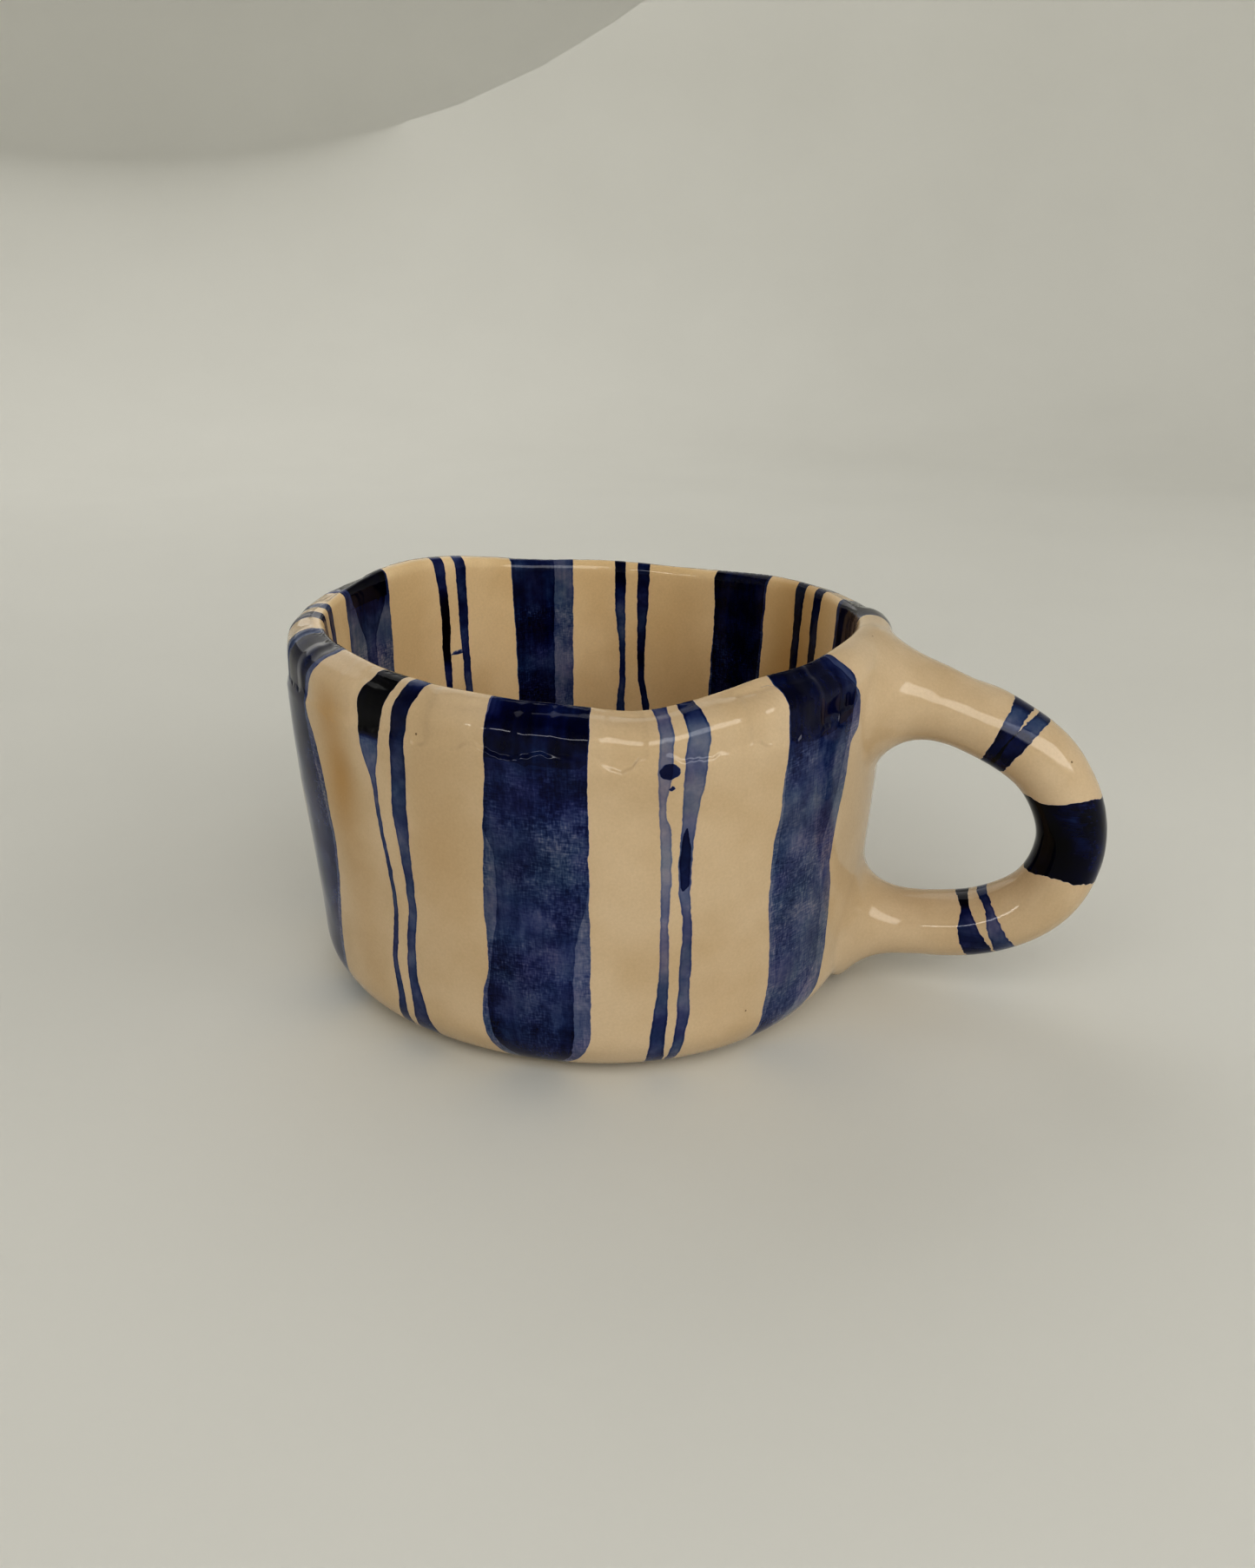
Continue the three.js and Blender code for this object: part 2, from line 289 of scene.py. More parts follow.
# Glaze and clay colours, linear
CLAY_LIGHT = (0.60, 0.475, 0.33, 1)
CLAY_DARK = (0.53, 0.405, 0.262, 1)
# Brown of the stains outside, and of the painted shade on the inside wall
CLAY_STAIN_AND_SHADE = (0.40, 0.225, 0.06, 1)
# Painted light: the clay inside is made lighter and warmer, in place of the light that bounces round
# inside the mug
CLAY_INSIDE_PAINTED_LIGHT = (1.3, 1.28, 1.18, 1)
CLAY_BARE = (0.60, 0.47, 0.34, 1)
SPECK = (0.10, 0.06, 0.03, 1)
COBALT_ABSORPTION = (1.0, 0.76, 0.39)
THIN_COBALT = 0.7          # up to this thickness no blue is taken away
BLOT_DEPTH = 4.0
# How strongly the stains and the painted shade inside show
STAIN_AND_SHADE_STRENGTH = 0.42
HUE_SHIFT_MM = (70, 40, 10)    # so that the drift towards green has clouds of its own
FLOOR_TONES = ((0.68, 0.675, 0.635, 1), (0.73, 0.725, 0.685, 1))

# Lights: azimuth from +X towards +Y, elevation, size in metres, power. Glints are seen only in the
# glaze: the window's veil, and a line along the thumb's edge. Fills leave no reflections of their own.
LIGHT_DISTANCE = 0.8
GLINT_DISTANCE = 0.79
LIGHT_COLOUR = (1.0, 0.99, 0.97)
LIGHTS = {
    "window": (-42, 29, (0.9, 0.32), 1.4),
    "back_window": (130, 38, (1.0, 0.7), 1.7),
}
GLINTS = [(-42, 31, (0.9, 0.3), 2.6), (-108, 25, (0.5, 0.06), 0.8)]
FILLS = [(-85, 50, (0.9, 0.4), 1.1), (12, 36, (0.9, 0.4), 0.85), (-108, 10, (0.9, 0.4), 0.9)]
WORLD_COLOUR = (0.97, 0.98, 1.0, 1)
WORLD_STRENGTH = 0.08


# ---------------------------------------------------------------- mesh helpers

def new_object(name, mesh):
    obj = bpy.data.objects.new(name, mesh)
    bpy.context.scene.collection.objects.link(obj)
    return obj


def discard(obj):
    mesh = obj.data
    bpy.data.objects.remove(obj)
    bpy.data.meshes.remove(mesh)


def add_modifier(obj, kind, **settings):
    modifier = obj.modifiers.new(kind.lower(), kind)
    for key, value in settings.items():
        setattr(modifier, key, value)


def baked(obj):
    """The object's mesh with its modifiers applied; the object itself goes."""
    bpy.context.view_layer.update()
    graph = bpy.context.evaluated_depsgraph_get()
    mesh = bpy.data.meshes.new_from_object(obj.evaluated_get(graph))
    discard(obj)
    return mesh


def quad_copy(node):
    """A copy of a CAD node with its quads restored and its hard edges marked."""
    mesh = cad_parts[node].data.copy()
    mesh.materials.clear()
    bm = bmesh.new()
    bm.from_mesh(mesh)
    bmesh.ops.remove_doubles(bm, verts=bm.verts, dist=1e-6)
    bmesh.ops.join_triangles(
        bm, faces=bm.faces, angle_face_threshold=0.7, angle_shape_threshold=0.9
    )
    crease = bm.edges.layers.float.get("crease_edge") or bm.edges.layers.float.new("crease_edge")
    for edge in bm.edges:
        if len(edge.link_faces) == 2 and edge.calc_face_angle() > HARD_EDGE:
            edge[crease] = 1.0
    bm.to_mesh(mesh)
    bm.free()
    return new_object(node + "_copy", mesh)


def rounded(node, growth):
    """A smooth, slightly grown mesh of a CAD node."""
    obj = quad_copy(node)
    add_modifier(obj, "SUBSURF", levels=2, render_levels=2)
    add_modifier(obj, "DISPLACE", strength=growth, mid_level=0.0)
    return baked(obj)


def points_of(mesh):
    points = np.empty(len(mesh.vertices) * 3)
    mesh.vertices.foreach_get("co", points)
    return points.reshape(-1, 3)


def set_points(mesh, points):
    mesh.vertices.foreach_set("co", points.ravel())
    mesh.update()


def normals_of(mesh):
    normals = np.empty(len(mesh.vertices) * 3)
    mesh.vertex_normals.foreach_get("vector", normals)
    return normals.reshape(-1, 3)


def edge_pairs(mesh):
    pairs = np.empty(len(mesh.edges) * 2, int)
    mesh.edges.foreach_get("vertices", pairs)
    return pairs.reshape(-1, 2)


def relaxed(points, pairs, share):
    """Every point moved by a share of the way to the middle of its neighbours."""
    first, second = pairs.T
    count = len(points)
    neighbours = np.bincount(pairs.ravel(), minlength=count)
    middles = np.empty_like(points)
    for axis in range(3):
        total = np.bincount(first, weights=points[second, axis], minlength=count)
        total += np.bincount(second, weights=points[first, axis], minlength=count)
        middles[:, axis] = total / neighbours
    return points + share * (middles - points)


def wrapped(angle):
    return (angle + 180) % 360 - 180


def smoothstep(low, high, value):
    share = np.clip((value - low) / (high - low), 0, 1)
    return share * share * (3 - 2 * share)


# ---------------------------------------------------------------- the handle's middle line

def spline_between(corners, steps):
    """Points of a centripetal Catmull-Rom curve between the second and third of four corners."""
    p0, p1, p2, p3 = corners
    t1 = math.sqrt(np.linalg.norm(p1 - p0))
    t2 = t1 + math.sqrt(np.linalg.norm(p2 - p1))
    t3 = t2 + math.sqrt(np.linalg.norm(p3 - p2))
    t = np.linspace(t1, t2, steps, endpoint=False)[:, None]
    a1 = ((t1 - t) * p0 + t * p1) / t1
    a2 = ((t2 - t) * p1 + (t - t1) * p2) / (t2 - t1)
    a3 = ((t3 - t) * p2 + (t - t2) * p3) / (t3 - t2)
    b1 = ((t2 - t) * a1 + t * a2) / t2
    b2 = ((t3 - t) * a2 + (t - t1) * a3) / (t3 - t1)
    return ((t2 - t) * b1 + (t - t1) * b2) / (t2 - t1)


def handle_line():
    """Points (x, z), directions and distances along the middle line, in millimetres."""
    given = np.array(HANDLE_LINE_MM)
    ends = np.vstack([2 * given[0] - given[1], given, 2 * given[-1] - given[-2]])
    pieces = [spline_between(ends[i:i + 4], LINE_STEPS) for i in range(len(given) - 1)]
    points = np.vstack(pieces + [given[-1:]])
    directions = np.gradient(points, axis=0)
    directions /= np.linalg.norm(directions, axis=1)[:, None]
    steps = np.linalg.norm(np.diff(points, axis=0), axis=1)
    return points, directions, np.concatenate([[0], np.cumsum(steps)])


LINE_POINTS, LINE_DIRECTIONS, LINE_DISTANCES = handle_line()
LINE_LENGTH = LINE_DISTANCES[-1]


def on_handle(points_mm):
    """Distance along the middle line, angle round it in degrees, and distance from it."""
    along = np.empty(len(points_mm))
    turn = np.empty(len(points_mm))
    away = np.empty(len(points_mm))
    for start in range(0, len(points_mm), 20000):
        part = slice(start, start + 20000)
        flat = points_mm[part][:, [0, 2]]
        squares = (flat[:, None, 0] - LINE_POINTS[None, :, 0]) ** 2
        squares += (flat[:, None, 1] - LINE_POINTS[None, :, 1]) ** 2
        nearest = squares.argmin(1)
        offset = flat - LINE_POINTS[nearest]
        forward = LINE_DIRECTIONS[nearest]
        outward = offset[:, 1] * forward[:, 0] - offset[:, 0] * forward[:, 1]
        side = points_mm[part][:, 1]
        along[part] = LINE_DISTANCES[nearest]
        turn[part] = np.degrees(np.arctan2(side, outward))
        away[part] = np.hypot(outward, side)
    return along, turn, away


# ---------------------------------------------------------------- skin

def joined(meshes):
    bm = bmesh.new()
    for mesh in meshes:
        bm.from_mesh(mesh)
        bpy.data.meshes.remove(mesh)
    mesh = bpy.data.meshes.new("skin")
    bm.to_mesh(mesh)
    bm.free()
    return mesh


def noise_at(points, size_mm, seed):
    """Soft noise between about -1 and 1, with bumps of the given size."""
    scale = 1 / (size_mm * MM)
    shift = Vector((seed, 2 * seed, 3 * seed))
    return np.array([noise.noise(Vector(p) * scale + shift) for p in points])


def smooth_skin(mesh):
    """Takes the voxel steps out, and melts the handle's ends into the wall."""
    pairs = edge_pairs(mesh)
    points = points_of(mesh) - GROWTH * normals_of(mesh)
    for _ in range(SMOOTHING_ROUNDS):
        points = relaxed(points, pairs, 0.5)
        points = relaxed(points, pairs, -0.52)
    offsets = [(points - root) * ROOT_STRETCH for root in ROOT_PLACES]
    nearest = np.min([np.linalg.norm(offset, axis=1) for offset in offsets], axis=0)
    share = 0.5 * smoothstep(ROOT_REACH_MM * MM, 0.55 * ROOT_REACH_MM * MM, nearest)[:, None]
    outside = smoothstep(*WALL_RADII, np.hypot(points[:, 0], points[:, 1]))[:, None]
    share *= outside * smoothstep(0.001, 0.004, points[:, 2])[:, None]
    for _ in range(ROOT_ROUNDS):
        points = relaxed(points, pairs, share)
    set_points(mesh, points)


def hand_marks(points):
    """How far the potter's hands push the clay out, in metres, at every point."""
    place = points / MM
    angle = np.degrees(np.arctan2(place[:, 1], place[:, 0]))
    marks = sum(height * noise_at(points, size, seed) for size, height, seed in HAND_BUMPS)
    radius = np.hypot(place[:, 0], place[:, 1])
    outside = smoothstep(42, 44, radius)
    for toward, height, size, depth in DENTS:
        across = np.radians(wrapped(angle - toward)) * MUG_RADIUS_MM
        distance = np.hypot(across, place[:, 2] - height)
        marks -= depth * outside * np.exp(-((distance / (0.6 * size)) ** 2))
    return (marks - outside * rim_ledge(points)) * MM


def rim_ledge(points):
    """How far the thumb has pressed the clay in under the rim, in millimetres, from a wavy level up."""
    level = RIM_LEDGE["height"] + 0.6 * noise_at(points * [1, 1, 0], 14, 5)
    level += 0.45 * noise_at(points * [1, 1, 0], 4.5, 9)
    above = points[:, 2] / MM - level
    half_width = RIM_LEDGE["half_width"]
    step = RIM_LEDGE["step"] * (1 + 0.3 * noise_at(points, 5, 13))
    lean = RIM_LEDGE["lean"] * smoothstep(0, 9, above)
    return step * smoothstep(-half_width, half_width, above) + lean


def rim_rise(angle):
    rise = np.zeros(len(angle))
    for toward, half_width, height in RIM_RISES:
        rise += height * np.exp(-((wrapped(angle - toward) / half_width) ** 2))
    return rise * MM


def add_character(mesh):
    points = points_of(mesh)
    place = points / MM
    angle = np.degrees(np.arctan2(place[:, 1], place[:, 0]))
    radius = np.hypot(place[:, 0], place[:, 1])
    near_root = smoothstep(27, 17, np.abs(angle)) * smoothstep(60, 52, radius)
    free = smoothstep(1, 5, place[:, 2]) * (1 - near_root)
    points += normals_of(mesh) * (hand_marks(points) * free)[:, None]
    points[:, 2] += rim_rise(angle) * smoothstep(30, 58, place[:, 2]) * (1 - near_root)
    points[:, 2] = np.where(points[:, 2] < 0.25 * MM, np.maximum(points[:, 2], 0), points[:, 2])
    set_points(mesh, points)


def make_skin():
    meshes = [rounded(name, GROWTH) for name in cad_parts]
    obj = new_object("skin", joined(meshes))
    add_modifier(obj, "REMESH", mode="VOXEL", voxel_size=VOXEL, use_smooth_shade=True)
    mesh = baked(obj)
    smooth_skin(mesh)
    add_character(mesh)
    return new_object("skin", mesh)


# ---------------------------------------------------------------- cutting

def block(name, size, place=(0, 0, 0), turn=None):
    """A plain block to cut with."""
    mesh = bpy.data.meshes.new(name)
    bm = bmesh.new()
    rotation = turn.to_4x4() if turn else Matrix()
    scale = Matrix.Diagonal((*size, 1))
    bmesh.ops.create_cube(bm, size=1, matrix=Matrix.Translation(place) @ rotation @ scale)
    bm.to_mesh(mesh)
    bm.free()
    return new_object(name, mesh)


def pan():
    """A cutter for the floor slab: all that lies low, and the middle of the inside."""
    mesh = bpy.data.meshes.new("pan")
    bm = bmesh.new()
    verts = [bm.verts.new((radius * MM, 0, height * MM)) for radius, height in PAN_PROFILE_MM]
    edges = [bm.edges.new(pair) for pair in zip(verts, verts[1:])]
    bmesh.ops.spin(
        bm, geom=verts + edges, cent=(0, 0, 0), axis=(0, 0, 1), angle=2 * math.pi, steps=128,
        use_merge=True,
    )
    bmesh.ops.remove_doubles(bm, verts=bm.verts, dist=1e-7)
    bmesh.ops.recalc_face_normals(bm, faces=bm.faces)
    bm.to_mesh(mesh)
    bm.free()
    return new_object("pan", mesh)


def cut(obj, cutter, operation, name):
    """A new object: this one, less or within the cutter."""
    result = new_object(name, obj.data.copy())
    add_modifier(result, "BOOLEAN", object=cutter, operation=operation, solver="MANIFOLD")
    return new_object(name, baked(result))


def end_block(distance, backwards, size):
    """A block whose face crosses the middle line at a distance, and which lies before or after it."""
    nearest = int(np.abs(LINE_DISTANCES - distance).argmin())
    forward = Vector((LINE_DIRECTIONS[nearest][0], 0, LINE_DIRECTIONS[nearest][1]))
    place = Vector((LINE_POINTS[nearest][0], 0, LINE_POINTS[nearest][1])) * MM
    away = -forward if backwards else forward
    turn = away.to_track_quat("X", "Y").to_matrix()
    return block("end_block", (size, size, size), place + away * size / 2, turn)


def split(obj, cutter):
    """The part inside the cutter and the part outside it."""
    inside = cut(obj, cutter, "INTERSECT", "inside")
    outside = cut(obj, cutter, "DIFFERENCE", "outside")
    discard(obj)
    discard(cutter)
    return inside, outside


def handle_space():
    """All the space where handle clay is, down to just outside the wall."""
    space = block("handle_space", HANDLE_SPACE_SIZE, HANDLE_SPACE_PLACE)
    for node in ("wall", "floor_slab"):
        shell = new_object("shell", rounded(node, SHELL_GROWTH))
        space_less = cut(space, shell, "DIFFERENCE", "handle_space")
        discard(shell)
        discard(space)
        space = space_less
    return space


def cut_skin(skin):
    handle, body = split(skin, handle_space())
    floor, wall = split(body, pan())
    upper, rest = split(handle, end_block(UPPER_PAD_LENGTH_MM, True, 0.04))
    lower, coil = split(rest, end_block(LINE_LENGTH - LOWER_PAD_LENGTH_MM, False, 0.03))
    return {
        "floor_slab": floor,
        "wall": wall,
        "upper_handle_pad": upper,
        "handle_coil": coil,
        "lower_handle_pad": lower,
    }


class SkinNormals:
    """The whole skin's smooth normals, so that the light runs on unbroken over a joint."""

    def __init__(self, mesh):
        self.points = [v.co.copy() for v in mesh.vertices]
        self.normals = [Vector(n) for n in normals_of(mesh)]
        self.faces = [tuple(p.vertices) for p in mesh.polygons]
        self.tree = BVHTree.FromPolygons(self.points, self.faces)

    def at(self, point):
        place, _, face, distance = self.tree.find_nearest(point)
        corners = self.faces[face]
        weights = poly_3d_calc([self.points[c] for c in corners], place)
        normal = Vector()
        for corner, weight in zip(corners, weights):
            normal += self.normals[corner] * weight
        return normal.normalized(), distance

    def give_to(self, mesh):
        """Sets the mesh's own normals, and returns the skin's normal at every point."""
        found = [self.at(v.co) for v in mesh.vertices]
        loops = [None] * len(mesh.loops)
        for polygon in mesh.polygons:
            polygon.use_smooth = True
            flat = polygon.normal
            for loop in polygon.loop_indices:
                normal, distance = found[mesh.loops[loop].vertex_index]
                on_skin = distance < 0.02 * MM and normal.dot(flat) > 0.75
                loops[loop] = normal if on_skin else flat
        mesh.normals_split_custom_set(loops)
        return np.array([normal for normal, _ in found])


# ---------------------------------------------------------------- where the colour goes

def curve_through(places, values, at):
    """Values at the asked places on a smooth curve through the given points."""
    grades = np.diff(values) / np.diff(places)
    slopes = np.concatenate([grades[:1], np.zeros(len(grades) - 1), grades[-1:]])
    turning = grades[1:] * grades[:-1] <= 0
    total = np.where(turning, 1, grades[1:] + grades[:-1])
    slopes[1:-1] = np.where(turning, 0, 2 * grades[1:] * grades[:-1] / total)
    before = np.clip(np.searchsorted(places, at) - 1, 0, len(places) - 2)
    step = places[before + 1] - places[before]
    share = np.clip((at - places[before]) / step, 0, 1)
    rise = values[before + 1] - values[before]
    bend = slopes[before] * step - rise
    other_bend = rise - slopes[before + 1] * step
    bulge = (1 - share) * bend + share * other_bend
    return values[before] + share * rise + share * (1 - share) * bulge


def stroke_values(stroke, at, position, scale, end_to_end):
    """Offset from a stroke's middle and its half width, in millimetres, and its thickness."""
    rows = np.array(stroke["edges"], float)
    left = curve_through(rows[:, 0], rows[:, 1], at)
    right = curve_through(rows[:, 0], rows[:, 2], at)
    depths = np.array(stroke["depth"], float)
    depth = np.interp(at, depths[:, 0], depths[:, 1])
    offset = position - (left + right) / 2
    if not end_to_end:
        offset = wrapped(offset)
    half = (right - left) / 2 * scale
    half = np.where((at < rows[0, 0]) | (at > rows[-1, 0]), NO_PAINT, half)
    return offset * scale, half, depth


def nearest_stroke(strokes, at, position, scale, end_to_end):
    best = np.zeros((len(at), 3))
    best[:, 1] = NO_PAINT
    nearest = np.full(len(at), np.inf)
    for stroke in strokes:
        offset, half, depth = stroke_values(stroke, at, position, scale, end_to_end)
        distance = np.abs(offset) - half
        closer = (distance < nearest) & (half > NO_PAINT)
        nearest = np.where(closer, distance, nearest)
        best[closer] = np.stack([offset, half, depth], 1)[closer]
    best[nearest > STROKE_MARGIN_MM, 1] = NO_PAINT
    return best


def spots(rows, angle, height, here):
    """How deep in the nearest spot a point lies, in millimetres; negative outside every spot."""
    depth = np.full(len(angle), -5.0)
    for toward, level, half_width, half_height in rows:
        across = np.radians(wrapped(angle - toward)) * MUG_RADIUS_MM / half_width
        inside = 1 - np.hypot(across, (height - level) / half_height)
        depth = np.maximum(depth, np.where(here, inside * min(half_width, half_height), -5.0))
    return depth


def soft_spots(rows, angle, height):
    total = np.zeros(len(angle))
    for toward, level, half_width, half_height, strength in rows:
        across = np.radians(wrapped(angle - toward)) * MUG_RADIUS_MM / half_width
        total += strength * np.exp(-(across ** 2) - ((height - level) / half_height) ** 2)
    return total


def put_colour(mesh, normals):
    """Stores, at every point, where it lies in the nearest strokes of the brush."""
    place = points_of(mesh) / MM
    angle = np.degrees(np.arctan2(place[:, 1], place[:, 0]))
    radius = np.hypot(place[:, 0], place[:, 1])
    height = place[:, 2]
    facing = (normals[:, 0] * place[:, 0] + normals[:, 1] * place[:, 1]) / np.maximum(radius, 1)
    inside = (height < 40) & ((facing < 0) | (normals[:, 2] > 0.3))
    end = STROKE_END_INSIDE_MM + 1.5 * noise_at(points_of(mesh), 6, 17)
    ended = np.where(inside, 1 - np.clip((height - end) / STROKE_TAPER_MM, 0, 1), 0)
    along, turn, away = on_handle(place)
    handle = (radius > 50) & (away < COIL_REACH_MM)
    layers = ((FIRST_STROKES, FIRST_BANDS), (SECOND_STROKES, SECOND_BANDS), (TOUCHES, []))
    for name, (strokes, bands) in zip(("first_stroke", "second_stroke", "touch"), layers):
        scale = np.radians(np.maximum(radius, 20))
        values = nearest_stroke(strokes, height, angle, scale, False)
        values[:, 1] -= ended * np.maximum(values[:, 1] + 1, 0)
        # The edge of the foot is bare, and the pads of the handle have no stripes of the body
        values[height < 1, 1] = NO_PAINT
        values[(radius > 49.5) & (np.abs(angle) < 25), 1] = NO_PAINT
        on_coil = nearest_stroke(bands, turn, along, np.ones(len(turn)), True)
        values[handle] = on_coil[handle]
        store(mesh, name, values)
    outside = (facing > 0.2) & (radius > 40)
    spot = np.maximum(
        spots(BLOTS, angle, height, outside), spots(INSIDE_BLOTS, angle, height, facing < -0.2)
    )
    # Brown stains outside, and painted shade inside: the same brown on the inside wall that lies in shade
    stain_and_shade = soft_spots(STAINS, angle, height) * outside
    stain_and_shade += soft_spots(INSIDE_PAINTED_SHADE, angle, height) * (facing < 0.1)
    # How far a point faces inwards: there the clay is painted lighter, and only outside it gets the
    # thumb's edge
    inner = smoothstep(0.2, -0.6, facing) * ~handle
    store(mesh, "spots", np.stack([spot, stain_and_shade, inner], 1))


def store(mesh, name, values):
    layer = mesh.attributes.new(name, "FLOAT_VECTOR", "POINT")
    layer.data.foreach_set("vector", np.ascontiguousarray(values, dtype=np.float32).ravel())


# ---------------------------------------------------------------- shader helpers

class Nodes:
    """Short ways to add and join shader nodes."""

    def __init__(self, tree):
        self.tree = tree
        tree.nodes.clear()

    def add(self, kind, inputs=None, **settings):
        node = self.tree.nodes.new("ShaderNode" + kind)
        for key, value in settings.items():
            setattr(node, key, value)
        for key, value in (inputs or {}).items():
            self.join(value, node.inputs[key])
        return node

    def join(self, value, socket):
        if isinstance(value, bpy.types.NodeSocket):
            self.tree.links.new(value, socket)
        else:
            socket.default_value = value

    def maths(self, operation, *values, clamp=False):
        node = self.add("Math", operation=operation, use_clamp=clamp)
        for value, socket in zip(values, node.inputs):
            self.join(value, socket)
        return node.outputs[0]

    def times(self, a, b):
        return self.maths("MULTIPLY", a, b)

    def plus(self, a, b):
        return self.maths("ADD", a, b)

    def fit(self, value, low, high, to_low=0.0, to_high=1.0, smooth=True):
        node = self.add("MapRange", {
            "Value": value, "From Min": low, "From Max": high, "To Min": to_low, "To Max": to_high,
        }, interpolation_type="SMOOTHSTEP" if smooth else "LINEAR")
        return node.outputs["Result"]

    def noise(self, vector, scale, detail=2.0, rough=0.5):
        node = self.add("TexNoise", {
            "Vector": vector, "Scale": scale, "Detail": detail, "Roughness": rough,
        })
        return node.outputs["Fac"]

    def vector(self, x, y, z):
        return self.add("CombineXYZ", {"X": x, "Y": y, "Z": z}).outputs[0]

    def parts(self, vector):
        return self.add("SeparateXYZ", {0: vector}).outputs

    def mix(self, share, a, b, blend="MIX"):
        node = self.add("Mix", data_type="RGBA", blend_type=blend)
        self.join(share, node.inputs[0])
        self.join(a, node.inputs[6])
        self.join(b, node.inputs[7])
        return node.outputs[2]

    def stored(self, name):
        return self.parts(self.add("Attribute", attribute_name=name).outputs["Vector"])


def place_in_mm(nodes):
    """Object position in millimetres, and the same laid out flat: round the mug, up, and out."""
    raw = nodes.add("TexCoord").outputs["Object"]
    place = nodes.add("VectorMath", {0: raw, 1: (1000, 1000, 1000)}, operation="MULTIPLY").outputs[0]
    x, y, z = nodes.parts(place)
    turned = nodes.times(nodes.maths("ARCTAN2", y, x), MUG_RADIUS_MM)
    radius = nodes.maths("SQRT", nodes.plus(nodes.times(x, x), nodes.times(y, y)))
    return place, turned, z, radius


def stroke_depth(nodes, name, wobble, textures):
    """Thickness of the colour of one layer of strokes: broad ones show the brush and the canvas."""
    offset, half, depth = nodes.stored(name)
    into = nodes.maths("SUBTRACT", half, nodes.maths("ABSOLUTE", nodes.plus(offset, wobble)))
    cover = nodes.fit(into, -0.06, 0.08)
    broad = nodes.fit(half, 0.9, 3)
    edge = nodes.times(nodes.fit(into, 0.4, 0.08), nodes.fit(broad, 0, 1, 0.34, 0.16))
    unevenness = nodes.add("Mix", {0: broad, 2: textures[0], 3: textures[1]}).outputs[0]
    thickness = nodes.times(depth, nodes.plus(unevenness, edge))
    return nodes.times(cover, thickness), cover


def brush_textures(nodes, place, turned, height):
    """Unevenness of the colour: clouds on narrow strokes, and with streaks and weave on broad ones."""
    clouds = nodes.fit(nodes.noise(place, 0.19, 4, 0.6), 0.3, 0.7, 0.68, 1.32)
    streak_place = nodes.vector(turned, 0.0, nodes.times(height, 0.08))
    streaks = nodes.fit(nodes.noise(streak_place, 1.1, 2), 0.3, 0.7, 0.9, 1.1)
    level = nodes.vector(nodes.times(turned, 0.9), 5.0, nodes.times(height, 3.6))
    upright = nodes.vector(nodes.times(turned, 3.6), 9.0, nodes.times(height, 0.9))
    threads = nodes.plus(nodes.noise(level, 1.0, 1), nodes.noise(upright, 1.0, 1))
    patch = nodes.fit(nodes.noise(place, 0.1, 2), 0.34, 0.62, 0.4, 1.4)
    below_rim = nodes.fit(height, 53, 49)
    weave = nodes.times(nodes.maths("SUBTRACT", threads, 1.0), nodes.times(patch, below_rim))
    woven = nodes.plus(weave, 1.0)
    pooled = nodes.times(clouds, streaks)
    return clouds, nodes.times(pooled, nodes.maths("MAXIMUM", woven, 0.5))


def paint(nodes, place, turned, height):
    """Total thickness of the cobalt, and how fully it covers."""
    slow = nodes.fit(nodes.noise(place, 0.3, 2), 0.3, 0.7, -0.14, 0.14, smooth=False)
    quick = nodes.fit(nodes.noise(place, 1.3, 2), 0.3, 0.7, -0.04, 0.04, smooth=False)
    wobble = nodes.plus(slow, quick)
    textures = brush_textures(nodes, place, turned, height)
    first, first_cover = stroke_depth(nodes, "first_stroke", wobble, textures)
    second, second_cover = stroke_depth(nodes, "second_stroke", wobble, textures)
    touch, _ = stroke_depth(nodes, "touch", wobble, textures)
    spot = nodes.stored("spots")[0]
    blot = nodes.times(nodes.fit(nodes.plus(spot, quick), -0.05, 0.08), BLOT_DEPTH)
    depth = nodes.plus(nodes.plus(first, second), nodes.plus(touch, blot))
    return depth, nodes.maths("MAXIMUM", first_cover, second_cover)


def seen_through(nodes, colour, depth, place):
    """The clay's colour through a thickness of cobalt, which takes blue away only where it is thick."""
    thick = nodes.maths("MAXIMUM", nodes.maths("SUBTRACT", depth, THIN_COBALT), 0.0)
    # Slow drifts of the hue, towards violet and towards green
    violet = nodes.fit(nodes.noise(place, 0.13, 2), 0.35, 0.65, 1.03, 0.94)
    elsewhere = nodes.add("VectorMath", {0: place, 1: HUE_SHIFT_MM}, operation="ADD").outputs[0]
    green = nodes.fit(nodes.noise(elsewhere, 0.15, 2), 0.35, 0.65, 1.04, 0.96)
    parts = []
    thicknesses = (nodes.times(depth, violet), nodes.times(depth, green), thick)
    for thickness, absorption in zip(thicknesses, COBALT_ABSORPTION):
        parts.append(nodes.maths("EXPONENT", nodes.times(thickness, -absorption)))
    pass_through = nodes.add("CombineColor", {"Red": parts[0], "Green": parts[1], "Blue": parts[2]})
    return nodes.mix(1.0, colour, pass_through.outputs[0], "MULTIPLY")


